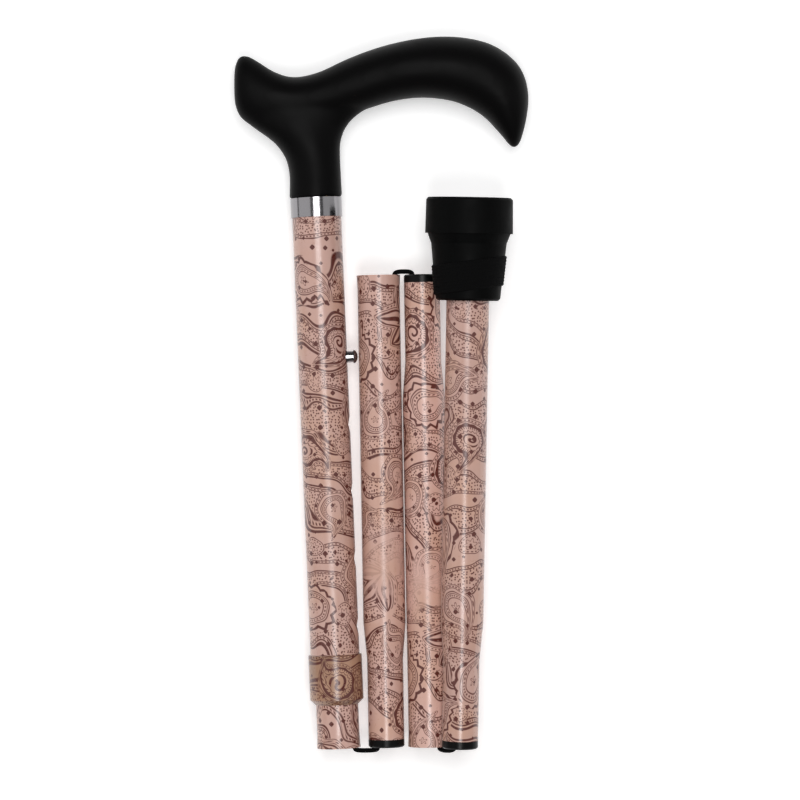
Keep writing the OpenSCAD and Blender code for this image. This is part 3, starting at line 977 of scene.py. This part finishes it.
def cord_pieces(shapes, material):
    """Braided cord in place of each plain stretch of the elastic cord."""
    radius = shapes.cord_d / 2
    tree = cord_tree()
    section_2, section_3, section_4 = SECTION_FRAMES.values()
    bend = Bend(radius)
    # Node, body, frame, and what the longer leg of a bend takes from the lower and the upper end
    runs = (
        ("cord_run_1", "sliding_tube", SHAFT_FRAME, bend.slack, 0.0),
        ("cord_run_2_lower", "cord_link_1", section_2, 0.0, 0.0),
        ("cord_run_2_upper", "cord_link_2", section_2, 0.0, 0.0),
        ("cord_run_3", "section_3", section_3, bend.slack, bend.slack),
        ("cord_run_4", "cord_link_3", section_4, 0.0, 0.0),
        ("cord_end", "section_4", section_4, 0.0, 0.0),
    )
    for node, body, tube, off_low, off_high in runs:
        low, high = lower_end(node, tube), upper_end(node, tube)
        along = (high - low).normalized()
        low, high = low + along * off_low, high - along * off_high
        count = max(2, int((high - low).length / shapes.cord_d))
        points = [low.lerp(high, i / count) for i in range(count + 1)]
        braided(node, body, points, [1.0] * (count + 1), ACROSS, radius, tree, material)
    # Node, body, whether that is the section the cord goes on to, joint, and both tube ends
    ends = (
        ("cord_bend_1", "section_2", True, "fold_1",
         lower_end("inner_tube", SHAFT_FRAME), -SHAFT_UP,
         lower_end("section_2_plug", section_2), SECTION_UP),
        ("cord_bend_2", "section_2", False, "fold_2",
         upper_end("section_2_tube", section_2), SECTION_UP,
         upper_end("section_3_plug", section_3), SECTION_UP),
        ("cord_bend_3", "section_4", True, "fold_3",
         lower_end("section_3_tube", section_3), -SECTION_UP,
         lower_end("section_4_plug", section_4), FOOT_UP),
    )
    for node, body, onward, joint, start, out, stop, next_up in ends:
        over, out = stop - start, out.normalized()
        across = over.normalized()
        splay = math.acos(min(1.0, abs(out.dot(next_up.normalized()))))
        points, thin = bend.path(start, out, over, splay, slack_first=onward)
        piece = braided(node, body, points, thin, across.cross(out), radius, tree, material)
        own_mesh(piece)


def leaf_spring(steel):
    """The leaf behind the button, a steel copy of the CAD spring that rides on the button's parent body."""
    piece = new_object("leaf_spring", NODES["button_spring"].data.copy())
    cover(piece.data, steel)
    press = JOINTS["button_press"]
    inward = Vector(press["axis"])
    depth = [v.co.dot(inward) for v in piece.data.vertices]
    keep = 1 - press["range_m"][1] / (max(depth) - min(depth))
    attach(piece, press["parent"], "button_spring")
    tuple(inward * max(depth))
    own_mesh(piece)


# Band


class FootBand:
    """Places points on the woven band, which sits slanted round the ferrule's body.

    rib_depth and edge_fall are shares of its thickness, edge_from is a share of half its width.
    """

    mouth_z, mouth_r = -0.0376, 0.0121
    neck_z, neck_r = -0.0172, 0.0141
    middle_z = -0.02903
    gap, least = 0.00005, 0.00002
    ribs, per_rib, rib_depth = 9, 4, 0.16
    edge_from, edge_fall = 0.94, 0.55
    puckers = ((0.00003, 64, 0.0), (0.00006, 3, 0.7))
    seam_from, seam_step, seam_points = -0.42, 0.05, 18

    def __init__(self, shapes):
        self.width = shapes.band_width / math.cos(shapes.band_tilt)
        self.slope = math.tan(shapes.band_tilt)
        self.thick = shapes.band_thick

    def body_r(self, z):
        share = (z - self.mouth_z) / (self.neck_z - self.mouth_z)
        return self.mouth_r + share * (self.neck_r - self.mouth_r)

    def point(self, turn, across, height):
        """turn round the ferrule, across the width from -0.5 to 0.5, height above the rubber."""
        z = self.middle_z + self.slope * self.mouth_r * math.cos(turn) + across * self.width
        z = max(z, self.mouth_z)
        r = self.body_r(z) + self.gap + height
        return FOOT_FRAME @ Vector((r * math.cos(turn), r * math.sin(turn), z))

    def profile(self, lift):
        """Places across the band and their heights, over the ribs and back under them."""
        count = self.ribs * self.per_rib
        rows = []
        for i in range(count + 1):
            across = i / count - 0.5
            outer = max(0.0, abs(across) * 2 - self.edge_from) / (1 - self.edge_from)
            rib = self.rib_depth * math.cos(math.tau * self.ribs * (i / count))
            height = self.thick * (1 - self.rib_depth - rib) * (1 - outer * self.edge_fall)
            rows.append((across, lift + height))
        return rows + [(0.5, lift + self.least), (-0.5, lift + self.least)]

    def cloth(self, name, start, stop, lift, steps, closed):
        """A ribbed strip of the band from one turn to another, as a closed solid."""
        profile = self.profile(lift)
        body = bmesh.new()
        layer = body.verts.layers.float_vector.new("weave")
        rings = []
        for k in range(steps if closed else steps + 1):
            turn = start + (stop - start) * k / steps
            pucker = sum(high * math.sin(count * turn + at) for high, count, at in self.puckers)
            ring = []
            for across, height in profile:
                height = max(height + pucker, lift + self.least)
                vert = body.verts.new(self.point(turn, across, height))
                vert[layer] = Vector((across * self.width / MM, turn * self.neck_r / MM, 0))
                ring.append(vert)
            rings.append(ring)
        size = len(profile)
        for a, b in zip(rings, rings[1:] + rings[:1] if closed else rings[1:]):
            for i in range(size):
                j = (i + 1) % size
                body.faces.new((a[i], b[i], b[j], a[j]))
        if not closed:
            body.faces.new(rings[0])
            body.faces.new(rings[-1][::-1])
        bmesh.ops.recalc_face_normals(body, faces=body.faces)
        mesh = bpy.data.meshes.new(name)
        body.to_mesh(mesh)
        body.free()
        mesh.shade_smooth()
        return new_object(name, mesh)

    def seam(self, turn, lift):
        """A line across the band."""
        shares = [self.seam_from + i * self.seam_step for i in range(self.seam_points)]
        return [self.point(turn, share, lift) for share in shares]


LAP_START, LAP_STOP = math.radians(50), math.radians(104)
LAP_LIFT, SEAM_LIFT = 0.95, 1.85
SEAM_INSETS = (0.09, 0.16)
STITCH_COUNT, STITCH_R, STITCH_HALF = 9, 0.00011, 0.0004


def band_pieces(shapes, cloth, thread):
    """The woven loop, its lap and the seams that hold the lap; lifts are in band thicknesses."""
    band = FootBand(shapes)
    thick = shapes.band_thick
    loop = band.cloth("woven_band", 0.0, math.tau, lift=0.0, steps=256, closed=True)
    lap = band.cloth("band_lap", LAP_START, LAP_STOP, lift=thick * LAP_LIFT, steps=44, closed=False)
    turns = [LAP_START + inset for inset in SEAM_INSETS]
    turns += [LAP_STOP - inset for inset in SEAM_INSETS[::-1]]
    seams = wire("band_stitches", *(band.seam(turn, thick * SEAM_LIFT) for turn in turns))
    run_tree(
        seams, stitch_tree(), Count=STITCH_COUNT, Thread=STITCH_R, Length=STITCH_HALF, Yarn=thread
    )
    cover(loop.data, cloth)
    cover(lap.data, cloth)
    attach(loop, "section_4", "elastic_band")
    attach(lap, "section_4")
    attach(seams, "section_4")


# Stage

WHITE = (1.0, 1.0, 1.0, 1.0)
FLOOR_REACH, FLOOR_GLOW, FLOOR_ROUGH = 3.0, 0.3, 0.85
FLOOR_TONES = (0.93, 0.93, 0.93), (0.97, 0.97, 0.97)
WORLD_GLOW = 0.1
AIM_RISE, AIM_X = 0.1309, 0.00736
LIGHTS = (
    ("window_left", (-1.0, 0.3, 0.75), (1.2, 1.4), 4.3),
    ("window_right", (1.05, 0.1, 0.6), (0.8, 1.4), 2.2),
    ("box_over", (0.06, 0.4, 1.9), (0.8, 0.8), 17.0),
    ("strip_low", (0.05, -0.38, 1.6), (0.4, 0.45), 7.0),
)


def pale_floor():
    """A wide pale floor that glows a little, so that it comes out white."""
    mesh = bpy.data.meshes.new("floor")
    corners = [(x * FLOOR_REACH, y * FLOOR_REACH, 0) for x, y in ((-1, -1), (1, -1), (1, 1), (-1, 1))]
    mesh.from_pydata(corners, [], [(0, 1, 2, 3)])
    material, graph, shader = new_material("Pale floor")
    paint(shader, object_mm(graph).noise(0.004), *FLOOR_TONES)
    shader.inputs["Roughness"].default_value = FLOOR_ROUGH
    shader.inputs["Emission Color"].default_value = WHITE
    shader.inputs["Emission Strength"].default_value = FLOOR_GLOW
    mesh.materials.append(material)
    new_object("floor", mesh)


def front_camera(shapes):
    """A camera square to the bundle; gives the point it looks at."""
    up = ACROSS.cross(SECTION_TURN).normalized()
    back = -SECTION_TURN.normalized()
    aim = lower_end("section_2_plug", SECTION_FRAMES["section_2_tube"]) + up * AIM_RISE
    aim.x = AIM_X
    lens = bpy.data.cameras.new("camera")
    lens.lens = lens.sensor_width * shapes.view_distance / shapes.view_width
    camera = new_object("camera", lens)
    turn = Matrix((ACROSS, up, back)).transposed().to_4x4()
    camera.matrix_world = Matrix.Translation(aim + back * shapes.view_distance) @ turn
    bpy.context.scene.camera = camera
    return aim


def soft_light(name, place, size, power, aim):
    lamp = bpy.data.lights.new(name, "AREA")
    lamp.shape = "RECTANGLE"
    lamp.size, lamp.size_y = size
    lamp.energy = power
    light = new_object(name, lamp)
    light.location = place
    light.rotation_euler = (aim - Vector(place)).to_track_quat("-Z", "Y").to_euler()


def pale_world(scene):
    scene.world = bpy.data.worlds.new("Studio")
    scene.world.use_nodes = True
    background = scene.world.node_tree.nodes["Background"]
    background.inputs["Color"].default_value = WHITE
    background.inputs["Strength"].default_value = WORLD_GLOW
    scene.view_settings.view_transform = "Standard"


# Operators


class DressOperator(bpy.types.Operator):
    bl_options = {"REGISTER", "UNDO"}


class CANE_OT_stage(DressOperator):
    """Set the floor, the lights and the camera"""

    bl_idname = "cane.stage"
    bl_label = "Stage"

    def execute(self, context):
        pale_floor()
        aim = front_camera(context.scene.cane_shapes)
        for name, place, size, power in LIGHTS:
            soft_light(name, place, size, power, aim)
        pale_world(context.scene)
        return {"FINISHED"}


class CANE_OT_handle(DressOperator):
    """Give the handle one smooth moulded skin"""

    bl_idname = "cane.handle"
    bl_label = "Moulded handle"

    def execute(self, context):
        scene = context.scene
        skin = handle_skin(scene.cane_shapes, satin_handle(scene.cane_finish))
        attach(skin, "handle_shaft", "derby_handle")
        return {"FINISHED"}


class CANE_OT_tubes(DressOperator):
    """Print the tubes and the locking ring"""

    bl_idname = "cane.tubes"
    bl_label = "Printed tubes"

    def execute(self, context):
        look, finish = context.scene.cane_print, context.scene.cane_finish
        group = paisley_group(look)
        section_2, section_3, section_4 = SECTION_FRAMES.values()
        # Node, frame, radius, where its print starts, ground, its share of painted light and shade, height
        # of a rubbed place; in mm
        tubes = (
            ("upper_tube", SHAFT_FRAME, 9.3, 0.0, look.ground, 1.02, None),
            ("inner_tube", SHAFT_FRAME, 8.0, 330.0, look.ground, 1.05, None),
            ("locking_ring", SHAFT_FRAME, 10.1, 700.0, look.ring_ground, 1.0, None),
            ("section_2_tube", section_2, 8.0, 1010.0, look.ground, 1.1, 66.0),
            ("section_3_tube", section_3, 8.0, 1290.0, look.ground, 1.18, 60.0),
            ("section_4_tube", section_4, 8.0, 1570.0, look.ground, 0.97, None),
        )
        for node, tube, radius, start, ground, painted_light_share, rubbed_at in tubes:
            name = "Print on " + node.replace("_", " ")
            # Each tube's ground is lightened or darkened for the light that falls on it: painted light and
            # shade, not a different print colour
            ground = toned(ground, painted_light_share)
            if rubbed_at is not None:
                rubbed_at += node_points(node, tube)[:, 2].min() / MM
            film = print_material(name, group, tube, radius, start, ground, rubbed_at, look, finish)
            dress(film, node)
        return {"FINISHED"}


class CANE_OT_fittings(DressOperator):
    """Finish the collar, button, plugs, rubber foot and hidden fittings"""

    bl_idname = "cane.fittings"
    bl_label = "Fittings"

    def execute(self, context):
        finish = context.scene.cane_finish
        polished = bright_metal("Polished metal", finish.bright, low=0.1, high=0.19)
        dress(polished, "handle_collar", "snap_button")
        steel = bright_metal("Spring steel", toned(finish.bright, 0.7), low=0.25, high=0.4)
        dress(steel, "ferrule_washer")
        leaf_spring(steel)
        plug = moulded_plastic("Plug plastic", finish.plug, low=0.24, high=0.38, shine=0.12)
        dress(plug, "section_2_plug", "section_3_plug", "section_4_plug")
        nylon = moulded_plastic("Nylon", finish.nylon, low=0.38, high=0.5, shine=0.5)
        dress(nylon, "rattle_sleeve", "upper_cord_anchor", "lower_cord_anchor")
        dress(turned_wood(finish), "handle_dowel")
        dress(foot_rubber(finish), "ferrule")
        return {"FINISHED"}


class CANE_OT_cord(DressOperator):
    """Braid the elastic cord"""

    bl_idname = "cane.cord"
    bl_label = "Elastic cord"

    def execute(self, context):
        scene = context.scene
        braid = woven_black("Braided cord", scene.cane_finish.cord, across=6.0, along=700.0, slant=1.0)
        cord_pieces(scene.cane_shapes, braid)
        return {"FINISHED"}


class CANE_OT_band(DressOperator):
    """Weave the elastic band round the foot"""

    bl_idname = "cane.band"
    bl_label = "Woven band"

    def execute(self, context):
        scene = context.scene
        black = scene.cane_finish.cord
        cloth = woven_black("Woven elastic", black, across=1.6, along=1.1, slant=0.0)
        thread = woven_black("Sewing thread", black, across=1.0, along=1.0, slant=0.0)
        band_pieces(scene.cane_shapes, cloth, thread)
        return {"FINISHED"}


class CANE_PT_dresser(bpy.types.Panel):
    """Lists the cane's pieces and their settings"""

    bl_idname = "CANE_PT_dresser"
    bl_label = "Folding cane"
    bl_space_type = "VIEW_3D"
    bl_region_type = "UI"
    bl_category = "Cane"

    def draw(self, context):
        for operator in OPERATORS:
            self.layout.operator(operator.bl_idname)
        for place, group in GROUPS.items():
            box = self.layout.box()
            for name in group.__annotations__:
                box.prop(getattr(context.scene, place), name)


OPERATORS = (
    CANE_OT_stage, CANE_OT_handle, CANE_OT_tubes, CANE_OT_fittings, CANE_OT_cord, CANE_OT_band
)
GROUPS = {"cane_print": CanePrint, "cane_finish": CaneFinish, "cane_shapes": CaneShapes}


def register():
    for name, group in GROUPS.items():
        bpy.utils.register_class(group)
        setattr(bpy.types.Scene, name, bpy.props.PointerProperty(type=group))
    for operator in OPERATORS:
        bpy.utils.register_class(operator)
    bpy.utils.register_class(CANE_PT_dresser)


def unregister():
    bpy.utils.unregister_class(CANE_PT_dresser)
    for operator in reversed(OPERATORS):
        bpy.utils.unregister_class(operator)
    for name, group in GROUPS.items():
        delattr(bpy.types.Scene, name)
        bpy.utils.unregister_class(group)


def main():
    register()
    bpy.ops.cane.stage()
    bpy.ops.cane.handle()
    bpy.ops.cane.tubes()
    bpy.ops.cane.fittings()
    bpy.ops.cane.cord()
    bpy.ops.cane.band()


if __name__ == "__main__":
    main()
